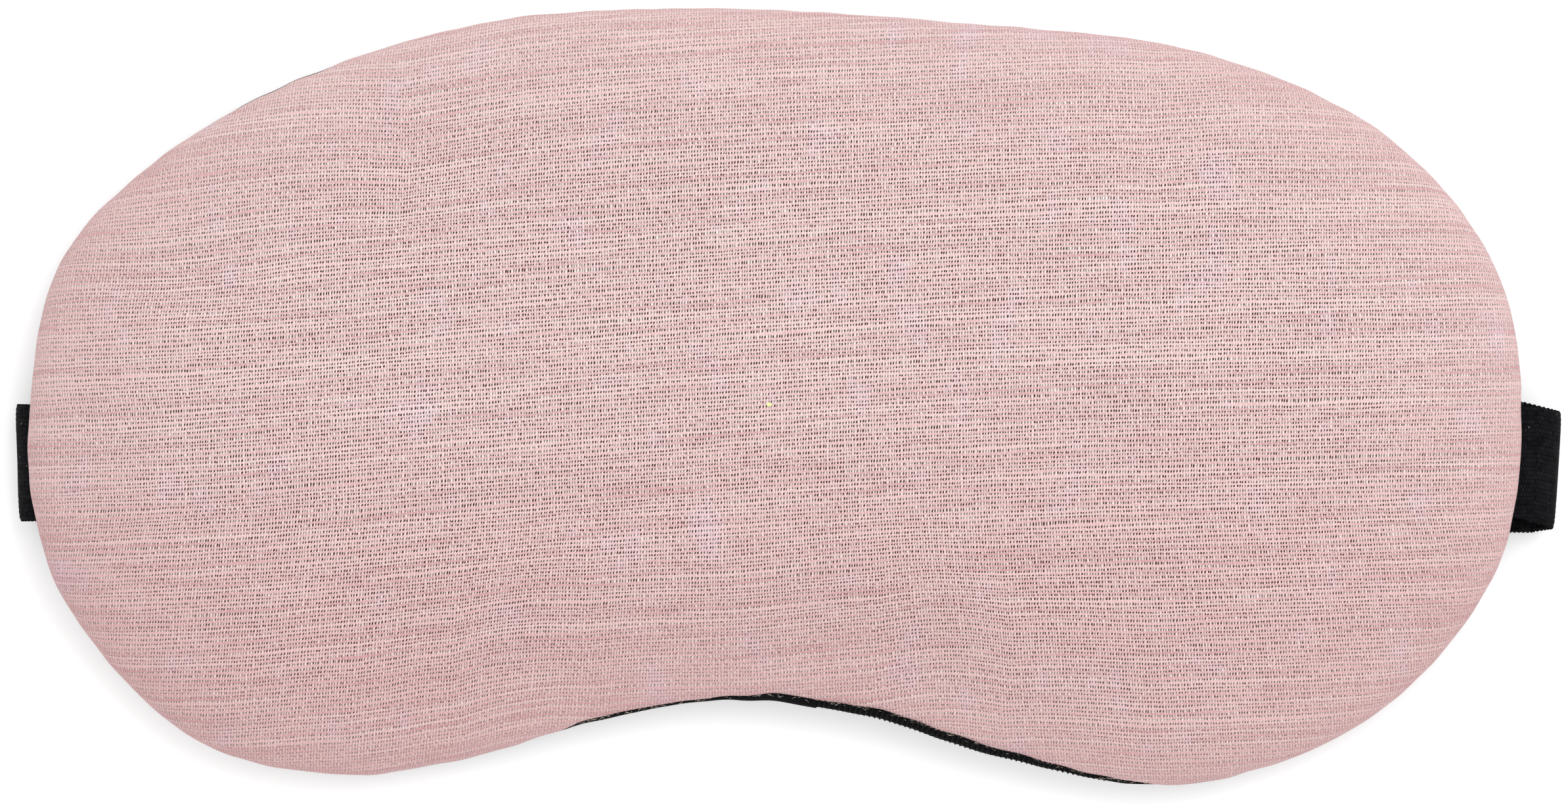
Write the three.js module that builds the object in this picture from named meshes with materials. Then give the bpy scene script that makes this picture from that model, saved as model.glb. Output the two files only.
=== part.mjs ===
// Contoured eye pillow with an elastic strap, lying on its back.
// Millimetres, +Z up, +X along the pillow, +Y towards the forehead edge.
// Two cloth panels are sewn together around the edge and turned through. They hold two layers of
// wadding. One length of elastic is caught in both side seams, and its slack lies folded in three
// flat layers behind the pillow, so the pillow's back rises in a low arch over it.

import * as THREE from 'three';
import { ParametricGeometry } from 'three/addons/geometries/ParametricGeometry.js';
import { mergeVertices } from 'three/addons/utils/BufferGeometryUtils.js';

const { clamp, degToRad, lerp, smoothstep } = THREE.MathUtils;

// ---------- driving dimensions ----------

const pillowLength = 203; // side to side
const pillowHeight = 106; // forehead edge to cheek edge
const loft = 14.5; // thickness of the filled pillow at its middle
const edgeHeight = 7; // height of the widest point of the edge
const frontShoulder = 30; // how far in from the edge the front goes on rising
const backShoulder = 10; // how far in from the edge the back reaches the table
const cloth = 0.6; // thickness of each panel
const seamAllowance = 8; // width of cloth turned in at the seam
const seamTuck = 0.6; // how far the seam rolls in under the front panel
const notchRoll = 1; // how far the back panel shows beyond the front at the nose notch
const clearance = 0.35; // gap between pieces that touch
const fillClearance = 0.8; // gap beside the wadding's curved faces

const thread = 0.4; // thickness of the sewing thread, with its take-up

const elasticWidth = 16;
const elastic = 0.8; // thickness of the elastic
const strapY = -9; // height of the strap's centre line
const leftReach = 1.8; // how far the left loop stands out past the cloth
const rightReach = 5.2; // how far the right loop stands out past the cloth
const slackOverlap = 60; // length of the three layers of folded slack
const tailLength = 6; // end of the elastic inside the seam

const gapStart = 5; // left end of the turning gap, from the middle of the pillow
const gapLength = 46; // sewn shut by hand once the pillow is filled
const gapStitches = 12;
const stitchHeight = 1.2; // how far each stitch slants up over the seam

const notchMiddle = 12; // middle of the nose notch, from the middle of the pillow
const notchHalf = 60; // half the length over which the seam rolls up there

const archEase = 2; // width beside the elastic that stays level over it
const archSpread = 20; // width beside the elastic over which the back comes down again
const archFollow = 0.15; // share of the arch that shows at the front
const passEase = 8; // length beside the elastic over which the seam closes again
const rampShare = 0.4; // length of the right run's climb, as a share of the folded slack

const around = 60; // facets around the outline
const outlineSteps = 600; // steps that the outline's length is measured in

// ---------- outline ----------

// The points that the outline passes through, clockwise from the left side, as shares of the
// half-length and half-height. The right lobe is the lower one, as the pillow is sewn.
const outlineShares = [
	[-1, -0.02], [-0.955, 0.365], [-0.75, 0.712], [-0.43, 0.948],
	[-0.15, 1], [0.25, 0.963], [0.58, 0.882], [0.823, 0.667],
	[0.966, 0.333], [1, -0.04], [0.965, -0.453], [0.8, -0.826],
	[0.55, -1], [0.3, -0.928], [0.12, -0.822], [-0.06, -0.782],
	[-0.24, -0.836], [-0.42, -0.938], [-0.58, -0.977], [-0.78, -0.884],
	[-0.95, -0.54], [-0.997, -0.27],
];

function makeOutline() {
	const corners = outlineShares.map(([x, y]) => (
		new THREE.Vector3((x * pillowLength) / 2, (y * pillowHeight) / 2, 0)
	));
	const curve = new THREE.CatmullRomCurve3(corners, true, 'centripetal');
	curve.arcLengthDivisions = outlineSteps;
	return curve.getSpacedPoints(around).slice(0, around);
}

const outline = makeOutline();

// Directions square to the outline and into the pillow.
const inward = outline.map((point, i) => {
	const before = outline[(i + around - 1) % around];
	const after = outline[(i + 1) % around];
	const along = after.clone().sub(before).normalize();
	return new THREE.Vector3(along.y, -along.x, 0);
});

// Where the outline crosses the strap's centre line, on the left (-1) or the right (1).
function edgeAtStrap(side) {
	const crossings = outline.map((a, i) => {
		const b = outline[(i + 1) % around];
		const share = (strapY - a.y) / (b.y - a.y);
		return share >= 0 && share < 1 ? lerp(a.x, b.x, share) : 0;
	});
	return side * Math.max(...crossings.map((x) => side * x));
}

// 1 in the nose notch, falling to 0 on the lobes beside it.
function notchShare(point) {
	const off = Math.abs(point.x - notchMiddle);
	return point.y < 0 ? 1 - smoothstep(off, notchHalf / 2, notchHalf) : 0;
}

// ---------- section ----------

const underOne = elastic + 2 * clearance;
const underStack = 3 * elastic + 4 * clearance;
const archFlat = elasticWidth / 2 + archEase;
const archFoot = elasticWidth / 2 + archSpread;
const archEnd = pillowLength / 2 - tailLength; // where only one layer is left to pass over

// Height of the arch in the pillow's back over the strap, highest over the folded slack.
function arch(x, y) {
	const across = 1 - smoothstep(Math.abs(y - strapY), archFlat, archFoot);
	const stack = 1 - smoothstep(Math.abs(x), slackOverlap, archEnd);
	return (lerp(underOne, underStack, stack) + clearance) * across;
}

// Lifts a point over the strap: by the whole arch at the back, and by little at the front.
function lifted(x, y, z) {
	const share = 1 - (1 - archFollow) * smoothstep(z, edgeHeight, loft);
	return new THREE.Vector3(x, y, z + arch(x, y) * share);
}

// Plan position a distance in from the edge, and then a share of the way to the strap's middle.
const middle = new THREE.Vector3(0, strapY, 0);

function plan(i, inset, share = 0) {
	return outline[i].clone().addScaledVector(inward[i], inset).lerp(middle, share);
}

// Inset and height on a curve `depth` inside the pillow's face. The angle is 90 degrees on the
// front's shoulder, 0 at the widest point and -90 where the back meets the table.
function section(depth, angle) {
	const shoulder = angle > 0 ? frontShoulder : backShoulder;
	const rise = angle > 0 ? loft - edgeHeight : edgeHeight;
	return {
		inset: depth + (shoulder - depth) * (1 - Math.cos(angle)),
		z: edgeHeight + (rise - depth) * Math.sin(angle),
	};
}

// The angle at which that curve has a given height.
function angleAt(depth, z) {
	const rise = z > edgeHeight ? loft - edgeHeight : edgeHeight;
	return Math.asin(clamp((z - edgeHeight) / (rise - depth), -1, 1));
}

// The seam lies under the edge, and rolls up over it in the nose notch.
const tuckAngle = -Math.acos(1 - seamTuck / backShoulder);
const rollAngle = Math.acos(1 - notchRoll / frontShoulder);
const seamHeight = outline.map((point) => (
	section(0, lerp(tuckAngle, rollAngle, notchShare(point))).z
));

// Half the gap between the panels at the seam, wider where the elastic passes through.
const halfGap = outline.map((point) => {
	const near = 1 - smoothstep(Math.abs(point.y - strapY), archFlat, archFlat + passEase);
	const atSide = Math.abs(point.x) > slackOverlap ? near : 0;
	return (clearance + atSide * (elastic + clearance)) / 2;
});

// Height of the surface between the halves: level through the seam allowance, then to mid loft.
const midLoft = loft / 2;

function between(i, inset) {
	const inside = smoothstep(inset, seamAllowance, 2 * seamAllowance);
	return lerp(seamHeight[i], midLoft, inside);
}

// ---------- solids from rings of points ----------

// A closed surface through rings of points, with a pole at each end or closed on itself. The
// rings run from the face to the inside, so on the back (-1) the triangles are turned round.
function loftRings(side, rings) {
	const last = rings.length - 1;
	const at = (u, v, target) => target.copy(rings[Math.round(v * last)][Math.round(u * around) % around]);
	const surface = new ParametricGeometry(at, around, last);
	surface.deleteAttribute('normal');
	surface.deleteAttribute('uv');
	const solid = mergeVertices(surface, 1e-4);
	const corners = solid.index.array;
	const kept = [];
	for (let k = 0; k < corners.length; k += 3) {
		const [a, b, c] = corners.slice(k, k + 3);
		if (a !== b && b !== c && c !== a) kept.push(...(side > 0 ? [a, b, c] : [a, c, b]));
	}
	solid.setIndex(kept);
	return solid;
}

function ringOf(place) {
	return outline.map((_, i) => place(i));
}

// Rings of one face, from its pole out to the seam. `side` is 1 for the front, -1 for the back,
// `depth` is how far the ring lies inside the face, and `stop` how high it ends above the seam.
const frontFace = { side: 1, shares: [1, 0.7, 0.35], angles: [90, 66, 44, 26, 10] };
const backFace = { side: -1, shares: [1, 0.8, 0.6, 0.4, 0.2], angles: [-90, -66, -42, -20, 2] };

function faceRings({ side, shares, angles }, depth, stop) {
	const shoulder = section(depth, degToRad(90 * side));
	const across = shares.map((share) => ringOf((i) => {
		const at = plan(i, shoulder.inset, share);
		return lifted(at.x, at.y, shoulder.z);
	}));
	const over = [...angles, -90 * side].map((degrees) => ringOf((i) => {
		const end = angleAt(depth, seamHeight[i] + side * (halfGap[i] + stop));
		const angle = side > 0 ? Math.max(degToRad(degrees), end) : Math.min(degToRad(degrees), end);
		const { inset, z } = section(depth, angle);
		const at = plan(i, inset);
		return lifted(at.x, at.y, z);
	}));
	return [...across, ...over];
}

// Height of a point beside the surface between the halves, `off` it towards the front or back.
function besideHeight(i, side, inset, off) {
	const spread = inset > seamAllowance ? fillClearance / 2 : halfGap[i];
	return between(i, inset) + side * (spread + off);
}

function besideRing(side, insetOf, off, share = 0) {
	return ringOf((i) => {
		const at = plan(i, insetOf(i), share);
		return lifted(at.x, at.y, besideHeight(i, side, insetOf(i), off));
	});
}

// A cloth panel: its face, the seam allowance turned in along the seam, and its inside.
function makePanel(face) {
	return loftRings(face.side, [
		...faceRings(face, 0, 0),
		besideRing(face.side, () => seamAllowance, 0),
		besideRing(face.side, () => seamAllowance, cloth),
		...faceRings(face, cloth, cloth).reverse(),
	]);
}

// Inset at which the inside of a curve clears a height above the seam on one side.
function insetClearOf(i, side, depth, off) {
	const z = seamHeight[i] + side * (halfGap[i] + off);
	return section(depth, angleAt(depth, z)).inset;
}

// A layer of wadding, cut back to leave room for the seam allowance and the stitching.
const seamRoom = cloth + clearance + thread + fillClearance;

function makeWadding(face) {
	const { side } = face;
	const depth = cloth + fillClearance;
	const roomEnd = (i) => Math.max(seamAllowance, insetClearOf(i, side, depth, seamRoom)) + fillClearance;
	return loftRings(side, [
		...faceRings(face, depth, seamRoom),
		ringOf((i) => {
			const at = plan(i, roomEnd(i));
			return lifted(at.x, at.y, seamHeight[i] + side * (halfGap[i] + seamRoom));
		}),
		...[0, 0.25, 0.5, 0.75, 1].map((share) => (
			besideRing(side, (i) => roomEnd(i) + seamAllowance, 0, share)
		)),
	]);
}

// The row of stitches runs where there is room for it between the panels and their allowances.
const stitchTop = cloth + clearance + thread + clearance;

function stitchInset(i) {
	const [front, back] = [1, -1].map((side) => insetClearOf(i, side, cloth, stitchTop));
	return Math.max(front, back) + clearance;
}

// The thread on one side of the seam, a closed ring of square section.
function makeSeamThread(side) {
	const near = cloth + clearance;
	const corners = [[0, near], [thread, near], [thread, near + thread], [0, near + thread]];
	const rings = corners.map(([inset, off]) => (
		besideRing(side, (i) => stitchInset(i) + inset, off)
	));
	return loftRings(side, [...rings, rings[0]]);
}

// ---------- elastic strap ----------

const levels = [0, 1, 2].map((layer) => (
	clearance + elastic / 2 + layer * (elastic + clearance)
));
const foldRadius = (levels[1] - levels[0]) / 2;
const slackHalf = slackOverlap / 2;

// Extrudes a profile drawn in X and Z across the strap's width.
function acrossStrap(profile) {
	const band = new THREE.ExtrudeGeometry(profile, {
		depth: elasticWidth, bevelEnabled: false, curveSegments: 8,
	});
	band.rotateX(Math.PI / 2);
	band.translate(0, strapY + elasticWidth / 2, 0);
	return band;
}

function slab(x0, x1, z) {
	const profile = new THREE.Shape();
	profile.moveTo(x0, z - elastic / 2);
	profile.lineTo(x1, z - elastic / 2);
	profile.lineTo(x1, z + elastic / 2);
	profile.lineTo(x0, z + elastic / 2);
	profile.closePath();
	return acrossStrap(profile);
}

// What one side's seam, front layer and fold have in common. The fold is round, or narrower
// where the loop stands out too little for that.
function sideOfStrap(side, reach) {
	const edge = edgeAtStrap(side);
	const { z } = lifted(edge, strapY, section(0, tuckAngle).z);
	const halfHigh = (z - levels[0] + elastic) / 2;
	const halfWide = Math.min(halfHigh, reach + seamTuck + clearance);
	return {
		side,
		z,
		halfHigh,
		halfWide,
		seam: edge - side * (seamTuck + clearance),
		foldX: edge + side * (reach - halfWide),
		foldZ: (z + levels[0]) / 2,
	};
}

const left = sideOfStrap(-1, leftReach);
const right = sideOfStrap(1, rightReach);

// The end of the elastic between the turned-in seam allowances.
function makeTail({ side, seam, z }) {
	const outer = seam - side * clearance;
	const inner = outer - side * tailLength;
	return slab(Math.min(outer, inner), Math.max(outer, inner), z);
}

// The front layer from the seam, and the fold down to the table.
function makeLoop({ side, seam, foldX, foldZ, halfHigh, halfWide }) {
	const [innerWide, innerHigh] = [halfWide - elastic, halfHigh - elastic];
	const up = Math.PI / 2;
	const profile = new THREE.Shape();
	profile.moveTo(seam, foldZ + innerHigh);
	profile.lineTo(seam, foldZ + halfHigh);
	profile.absellipse(foldX, foldZ, halfWide, halfHigh, up, -up, side > 0);
	profile.absellipse(foldX, foldZ, innerWide, innerHigh, -up, up, side < 0);
	profile.closePath();
	return acrossStrap(profile);
}

// The left side's back layer lies on the table. The right side's climbs onto the folded slack.
function makeLeftRun() {
	return slab(left.foldX + clearance, slackHalf, levels[0]);
}

function makeRightRun() {
	const half = elastic / 2;
	const top = slackHalf + foldRadius + elastic / 2 + clearance;
	const foot = top + rampShare * slackOverlap;
	const end = right.foldX - clearance;
	const profile = new THREE.Shape();
	profile.moveTo(-slackHalf, levels[2] - half);
	profile.lineTo(top, levels[2] - half);
	profile.lineTo(foot, levels[0] - half);
	profile.lineTo(end, levels[0] - half);
	profile.lineTo(end, levels[0] + half);
	profile.lineTo(foot, levels[0] + half);
	profile.lineTo(top, levels[2] + half);
	profile.lineTo(-slackHalf, levels[2] + half);
	profile.closePath();
	return acrossStrap(profile);
}

// The middle layer of the folded slack, with the fold at each of its ends.
function makeSlackFold() {
	const outer = foldRadius + elastic / 2;
	const inner = foldRadius - elastic / 2;
	const x = slackHalf + clearance;
	const up = Math.PI / 2;
	const profile = new THREE.Shape();
	profile.moveTo(-x, levels[1] + foldRadius - inner);
	profile.absarc(-x, levels[1] + foldRadius, inner, -up, up, true);
	profile.absarc(-x, levels[1] + foldRadius, outer, up, -up, false);
	profile.lineTo(x, levels[1] - elastic / 2);
	profile.absarc(x, levels[0] + foldRadius, inner, up, -up, true);
	profile.absarc(x, levels[0] + foldRadius, outer, -up, up, false);
	profile.closePath();
	return acrossStrap(profile);
}

// ---------- thread that closes the turning gap ----------

// A point on the pillow's face at the lower edge, `off` up the face from the seam and `out` from it.
function besideSeam(x, off, out) {
	const i = outline.findIndex((a, k) => {
		const b = outline[(k + 1) % around];
		return a.y < 0 && a.x >= x && b.x < x;
	});
	const next = (i + 1) % around;
	const share = (outline[i].x - x) / (outline[i].x - outline[next].x);
	const z = lerp(seamHeight[i], seamHeight[next], share) + off;
	const angle = angleAt(0, z);
	const { inset } = section(0, angle);
	const at = plan(i, inset).lerp(plan(next, inset), share);
	const into = inward[i].clone().lerp(inward[next], share).normalize();
	return lifted(at.x, at.y, z)
		.addScaledVector(into, -out * Math.cos(angle))
		.add(new THREE.Vector3(0, 0, out * Math.sin(angle)));
}

// One whipped thread that slants over the seam at each stitch.
function makeGapThread() {
	const out = clearance + thread / 2;
	const points = Array.from({ length: 2 * gapStitches }, (_, k) => (
		besideSeam(gapStart + (k * gapLength) / (2 * gapStitches - 1), (k % 2 - 0.5) * stitchHeight, out)
	));
	const profile = new THREE.Shape();
	profile.absarc(0, 0, thread / 2, 0, 2 * Math.PI);
	return new THREE.ExtrudeGeometry(profile, {
		extrudePath: new THREE.CatmullRomCurve3(points, false, 'centripetal'),
		steps: 6 * gapStitches,
		curveSegments: 3,
	});
}

// ---------- assembly ----------

const finishes = {
	linen: { color: 0xd9bfbd, roughness: 0.9, metalness: 0 },
	blackCloth: { color: 0x17171a, roughness: 0.85, metalness: 0 },
	wadding: { color: 0xf2f0ea, roughness: 1, metalness: 0 },
	thread: { color: 0x1c1c1e, roughness: 0.7, metalness: 0 },
	elastic: { color: 0x141416, roughness: 0.75, metalness: 0 },
};

const eyePillow = new THREE.Group();

function add(name, geometry, finish) {
	const mesh = new THREE.Mesh(geometry, new THREE.MeshStandardMaterial(finishes[finish]));
	mesh.name = name;
	eyePillow.add(mesh);
}

add('front_panel', makePanel(frontFace), 'linen');
add('back_panel', makePanel(backFace), 'blackCloth');
add('front_wadding', makeWadding(frontFace), 'wadding');
add('back_wadding', makeWadding(backFace), 'wadding');
add('seam_needle_thread', makeSeamThread(1), 'thread');
add('seam_bobbin_thread', makeSeamThread(-1), 'thread');
add('gap_closing_thread', makeGapThread(), 'thread');
add('left_strap_tail', makeTail(left), 'elastic');
add('right_strap_tail', makeTail(right), 'elastic');
add('left_strap_loop', makeLoop(left), 'elastic');
add('right_strap_loop', makeLoop(right), 'elastic');
add('left_strap_run', makeLeftRun(), 'elastic');
add('right_strap_run', makeRightRun(), 'elastic');
add('strap_slack_fold', makeSlackFold(), 'elastic');

// The origin is under the middle of the whole object, loops included.
const leftEnd = edgeAtStrap(-1) - leftReach;
const rightEnd = edgeAtStrap(1) + rightReach;
eyePillow.position.x = -(leftEnd + rightEnd) / 2;

export default eyePillow;
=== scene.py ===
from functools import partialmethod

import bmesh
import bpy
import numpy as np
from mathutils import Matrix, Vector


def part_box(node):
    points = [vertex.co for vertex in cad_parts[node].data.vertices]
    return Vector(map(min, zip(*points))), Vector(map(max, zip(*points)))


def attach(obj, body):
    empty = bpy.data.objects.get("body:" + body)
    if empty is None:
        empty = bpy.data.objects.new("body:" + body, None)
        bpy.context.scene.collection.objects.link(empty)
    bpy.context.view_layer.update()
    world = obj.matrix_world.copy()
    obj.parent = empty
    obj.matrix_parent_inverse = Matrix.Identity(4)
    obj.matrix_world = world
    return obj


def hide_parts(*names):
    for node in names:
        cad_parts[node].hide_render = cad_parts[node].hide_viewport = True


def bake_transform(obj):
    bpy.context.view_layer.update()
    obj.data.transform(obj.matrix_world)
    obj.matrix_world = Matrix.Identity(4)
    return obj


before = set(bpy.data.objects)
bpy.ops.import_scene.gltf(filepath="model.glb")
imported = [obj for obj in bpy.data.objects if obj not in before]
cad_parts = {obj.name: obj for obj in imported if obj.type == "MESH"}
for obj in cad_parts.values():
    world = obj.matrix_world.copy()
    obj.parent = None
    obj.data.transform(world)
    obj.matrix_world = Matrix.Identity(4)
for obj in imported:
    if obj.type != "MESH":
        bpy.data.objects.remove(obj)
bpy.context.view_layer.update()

# %% [markdown]
# # A contoured eye pillow with an elastic strap
# The pillow is two panels of cloth, a pink slub weave in front and a black one behind, sewn
# together round a kidney outline and turned through over soft wadding. One flat elastic is caught
# in both side seams. Lying on a table, its slack is folded behind the pillow, so only two short
# loops show. Everything below works in millimetres and turns them into metres when a mesh is made.

MM = 0.001
PI = np.pi


def node_box(node):
    """A node's lowest and highest corners in millimetres."""
    low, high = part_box(node)
    return np.array(low) / MM, np.array(high) / MM


def smooth(x, low, high):
    """0 below low, 1 above high, and the cubic 3t^2 - 2t^3 between them."""
    t = np.clip((x - low) / (high - low), 0.0, 1.0)
    return t * t * (3.0 - 2.0 * t)


def mix(a, b, share):
    """The value at a share of the way from a to b."""
    return a + (b - a) * share


# %% [markdown]
# ## Meshes from grids
# Nearly every piece is a grid of points: rings round the pillow, or sections carried along the
# strap. Worked out as whole arrays, each shape stays a formula, so a size can change without any
# rework. One helper turns a grid into a closed mesh, with a fan at each end where the grid closes
# to a pole.

# %% Mesh helper
def grid_mesh(name, points, uv=None, poles=False, values=None):
    """A mesh from points[row, column]: each row closes on itself, and the ends are capped.

    With poles, the first and last rows are single points, and triangles fan out from them.
    """
    rows, columns = points.shape[:2]
    at = np.arange(rows * columns).reshape(rows, columns)
    step = np.roll(at, -1, axis=1)
    first, last = (1, rows - 2) if poles else (0, rows - 1)
    here, beyond = slice(first, last), slice(first + 1, last + 1)
    quads = np.stack([at[here], step[here], step[beyond], at[beyond]], axis=-1)
    faces = quads.reshape(-1, 4).tolist()
    if poles:
        start, end = at[0, 0], at[-1, 0]
        faces += np.stack([np.full(columns, start), step[1], at[1]], axis=-1).tolist()
        faces += np.stack([np.full(columns, end), at[-2], step[-2]], axis=-1).tolist()
    else:
        faces += [at[0][::-1].tolist(), at[-1].tolist()]
    piece = new_piece(name, points.reshape(-1, 3), faces)
    mesh = piece.data
    if uv is not None:
        layer = mesh.uv_layers.new(name="cloth")
        corner = np.empty(len(mesh.loops), dtype=np.int32)
        mesh.loops.foreach_get("vertex_index", corner)
        layer.data.foreach_set("uv", uv.reshape(-1, 2)[corner].astype(np.float32).ravel())
    if values is not None:
        layer = mesh.attributes.new("openness_and_rim_shade", "FLOAT", "POINT")
        layer.data.foreach_set("value", values.astype(np.float32).ravel())
    mesh.polygons.foreach_set("use_smooth", np.ones(len(mesh.polygons), dtype=bool))
    clean_mesh(mesh)
    return piece


def new_piece(name, points, faces):
    """An object of these points, in millimetres, and faces."""
    mesh = bpy.data.meshes.new(name)
    mesh.from_pydata((points * MM).tolist(), [], faces)
    piece = bpy.data.objects.new(name, mesh)
    bpy.context.scene.collection.objects.link(piece)
    return piece


def clean_mesh(mesh):
    """Drops the unused copies of a pole, and points every face outwards."""
    work = bmesh.new()
    work.from_mesh(mesh)
    loose = [v for v in work.verts if not v.link_faces]
    bmesh.ops.delete(work, geom=loose, context="VERTS")
    bmesh.ops.recalc_face_normals(work, faces=work.faces)
    work.to_mesh(mesh)
    work.free()


# %% [markdown]
# ## The outline
# A pattern cutter draws this shape as one flowing line through a few points: two lobes, a long
# curve over the forehead and a notch for the nose. A closed spline does the same, through shares
# of the half-length and half-height. The samples are close together along the notch, where the
# black edge shows.

# %% Outline
front_low, front_high = node_box("front_panel")
back_low, _ = node_box("back_panel")
centre_x = (front_low[0] + front_high[0]) / 2
half_length = (front_high[0] - front_low[0]) / 2
half_height = (front_high[1] - back_low[1]) / 2

outline_shares = np.array([
    (-1, -0.02), (-0.955, 0.365), (-0.75, 0.712), (-0.43, 0.948),
    (-0.15, 1), (0.25, 0.963), (0.58, 0.882), (0.823, 0.667),
    (0.966, 0.333), (1, -0.04), (0.965, -0.453), (0.8, -0.826),
    (0.55, -1), (0.3, -0.928), (0.12, -0.822), (-0.06, -0.782),
    (-0.24, -0.836), (-0.42, -0.938), (-0.58, -0.977), (-0.78, -0.884),
    (-0.95, -0.54), (-0.997, -0.27),
])


def closed_spline(points, per_span):
    """A closed cubic through the points, with knots spaced by the roots of their distances."""
    p0, p1, p2, p3 = (np.roll(points, shift, axis=0) for shift in (1, 0, -1, -2))
    spans = ((p0, p1), (p1, p2), (p2, p3))
    a, b, c = (np.sqrt(np.linalg.norm(end - start, axis=1))[:, None] for start, end in spans)
    leave = ((p1 - p0) / a - (p2 - p0) / (a + b) + (p2 - p1) / b) * b
    arrive = ((p2 - p1) / b - (p3 - p1) / (b + c) + (p3 - p2) / c) * b
    t = np.linspace(0, 1, per_span, endpoint=False)[None, :, None]
    p1, p2, leave, arrive = (a[:, None, :] for a in (p1, p2, leave, arrive))
    curve = ((2 * t**3 - 3 * t**2 + 1) * p1 + (t**3 - 2 * t**2 + t) * leave
             + (3 * t**2 - 2 * t**3) * p2 + (t**3 - t**2) * arrive)
    return curve.reshape(-1, 2)


points_per_span = 200
notch_middle, notch_half = 15.0, 48.0
fine_spacing, plain_spacing = 0.16, 0.9

curve = closed_spline(outline_shares * (half_length, half_height), points_per_span)
steps = np.linalg.norm(np.roll(curve, -1, axis=0) - curve, axis=1)
in_notch = (curve[:, 1] < 0) & (np.abs(curve[:, 0] - notch_middle) < notch_half)
spacing = np.where(in_notch, fine_spacing, plain_spacing)
counts = np.concatenate([[0], np.cumsum(steps / spacing)])
around = int(counts[-1])
closed = np.vstack([curve, curve[:1]])
wanted = np.linspace(0, counts[-1], around, endpoint=False)
outline = np.stack([np.interp(wanted, counts, closed[:, k]) for k in (0, 1)], axis=1)
tangent = np.roll(outline, -1, axis=0) - np.roll(outline, 1, axis=0)
edge_length = np.concatenate([[0], np.cumsum(np.linalg.norm(np.diff(outline, axis=0), axis=1))])
tangent /= np.linalg.norm(tangent, axis=1)[:, None]
inward = np.stack([tangent[:, 1], -tangent[:, 0]], axis=1)

# %% [markdown]
# ## The section
# Cut the pillow anywhere and it shows the same thing: a nearly flat top, a rounded edge, and a
# back that lies on the table. The front and back curves are quarter superellipses that meet at the
# widest point. Over the folded strap the section is lifted, most at the back. The seam sits just
# under the edge, but in the notch it rolls up, and the black back shows as a narrow rim.

# %% Section
loft = 14.5
edge_height = 7.0
front_shoulder = 30.0
back_shoulder = 10.0
fullness = 2.15
power = 2 / fullness
cloth = 0.5
allowance = 7.0

strap_y = -9.0
elastic_width = 16.0
layer_low, layer_high = node_box("left_strap_run")
elastic = layer_high[2] - layer_low[2]
table_gap = layer_low[2]
layer_pitch = elastic + table_gap
slack_low, slack_high = node_box("strap_slack_fold")
slack_reach = slack_high[0] - slack_low[0]

arch_room = 2.0
arch_spread = 20.0
arch_end = 6.0
arch_follow = 0.85


def arch(x, y):
    """Height of the back over the strap: one layer high at the sides, three in the middle."""
    half = elastic_width / 2
    across = 1 - smooth(np.abs(y - strap_y), half + arch_room, half + arch_spread)
    stack = 1 - smooth(np.abs(x), slack_reach, half_length - arch_end)
    one = elastic + 3 * table_gap
    return mix(one, one + 2 * layer_pitch, stack) * across


def lift(x, y, z):
    """Raises a height over the strap: by the whole arch at the back, by little at the front."""
    share = 1 - arch_follow * smooth(z, edge_height, loft)
    return z + arch(x, y) * share


def section(depth, angle):
    """Inset and height on the curve depth inside the face, a quarter superellipse each way."""
    up = angle > 0
    shoulder = np.where(up, front_shoulder, back_shoulder)
    rise = np.where(up, loft - edge_height, edge_height) - depth
    inset = depth + (shoulder - depth) * (1 - np.abs(np.cos(angle)) ** power)
    return inset, edge_height + rise * np.sign(angle) * np.abs(np.sin(angle)) ** power


# Width of the black rim that shows along the notch, at places along the pillow.
rim_table = np.array([
    (-30, 0), (-26, 0.15), (-22.5, 0.24), (-17, 0.15), (-10, 0.14), (-7, 0.2), (-4, 0.5),
    (-0.5, 0.7), (3.5, 0.72), (6, 0.62), (9, 0.82), (15, 0.9), (21, 0.88), (27, 0.86),
    (31, 0.66), (36, 0.6), (40, 0.32), (46, 0.28), (49, 0.14), (52, 0),
])
lower = outline[:, 1] < -0.6 * half_height
rim_shown = np.where(lower, np.interp(outline[:, 0], *rim_table.T), 0.0)

# A sliver of the black back also shows at the upper left, where the seam creeps over the edge.
sliver_at, sliver_half, sliver_width = -67.3, 2.4, 0.24
upper = outline[:, 1] > 0.5 * half_height
sliver = sliver_width * np.clip(1 - ((outline[:, 0] - sliver_at) / sliver_half) ** 2, 0, 1)
rim_shown = np.maximum(rim_shown, np.where(upper, sliver, 0.0))
blur = 8
ends_joined = np.concatenate([rim_shown[-blur:], rim_shown, rim_shown[:blur]])
rim_shown = np.convolve(ends_joined, np.ones(2 * blur + 1) / (2 * blur + 1), "valid")

# The machine seam ends in a small square lip where the turning gap begins.
lip_end = 5.6
lip_length = 9.0
lip_height = 0.42
lip = lip_height * smooth(outline[:, 0], lip_end - lip_length, lip_end) * (outline[:, 0] < lip_end)
lip = np.where(lower, lip, 0.0)

# Where the rim shows, the seam rolls up by its width. Past the rim's ends it eases down and under.
seam_tuck = 0.6
seam_ease = 24.0
early_ease = 6.0
thin_rim = 0.25
roll_angle = np.arccos(np.clip(1 - rim_shown / front_shoulder, 0, 1) ** (1 / power))
tuck_angle = np.arccos((1 - seam_tuck / back_shoulder) ** (1 / power))
shown_at = edge_length[rim_shown > 0.01]
apart = np.abs(edge_length[:, None] - shown_at[None])
beyond = np.minimum(apart, edge_length[-1] - apart).min(axis=1)
beyond += early_ease * (1 - smooth(rim_shown, 0.0, thin_rim))
seam_angle = roll_angle - tuck_angle * smooth(beyond, 0, seam_ease)

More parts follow.
